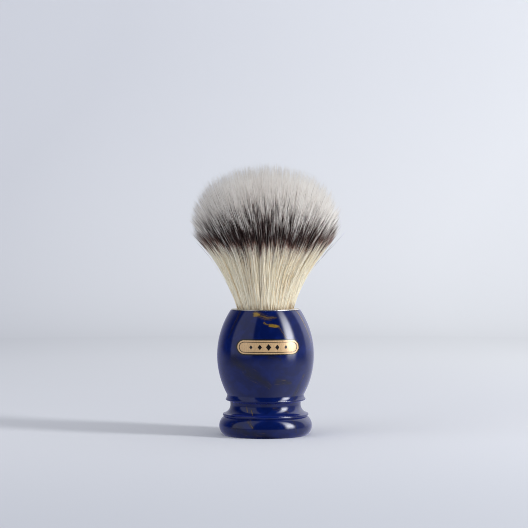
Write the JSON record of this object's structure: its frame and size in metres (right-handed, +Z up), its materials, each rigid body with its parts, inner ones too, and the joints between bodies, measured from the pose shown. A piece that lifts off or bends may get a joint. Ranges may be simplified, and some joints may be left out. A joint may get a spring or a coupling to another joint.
{
  "type": "shaving brush",
  "caption": "Shaving brush with a turned, marbled handle, a metal collar, a plain badge and a fan-shaped tuft of banded fibres that bends on its root.",
  "frame": {"origin": "middle of the foot's underside, on the surface the brush stands on", "axes": "+Z up the handle to the tips of the fibres; the badge faces -Y; +X is to the right of someone looking at the badge"},
  "size_m": [0.0554, 0.0554, 0.104],
  "materials": {
    "marbled_resin": "gloss",
    "nickel_plate": "polished",
    "cup_plastic": "satin",
    "amber_resin": "satin",
    "thread": "matte",
    "fibre": "satin",
    "black_enamel": "gloss",
    "gold_plate": "satin"
  },
  "bodies": {
    "handle_body": {"handle": "marbled_resin", "collar": "nickel_plate", "knot_cup": "cup_plastic", "setting_epoxy": "amber_resin", "root_plug": "amber_resin", "root_binding": "thread", "tuft_root": "fibre", "badge_backing": "black_enamel", "badge_plate": "gold_plate", "badge_marks": "black_enamel"},
    "tuft_body": {"tuft_head": "fibre"}
  },
  "joints": [
    {"name": "tuft_flex", "type": "hinge", "parent": "handle_body", "child": "tuft_body", "pos_m": [0, 0, 0.05655], "axis": [0, 1, 0], "range_deg": [-25, 25], "stiffness_Nm_per_rad": 0.2}
  ]
}
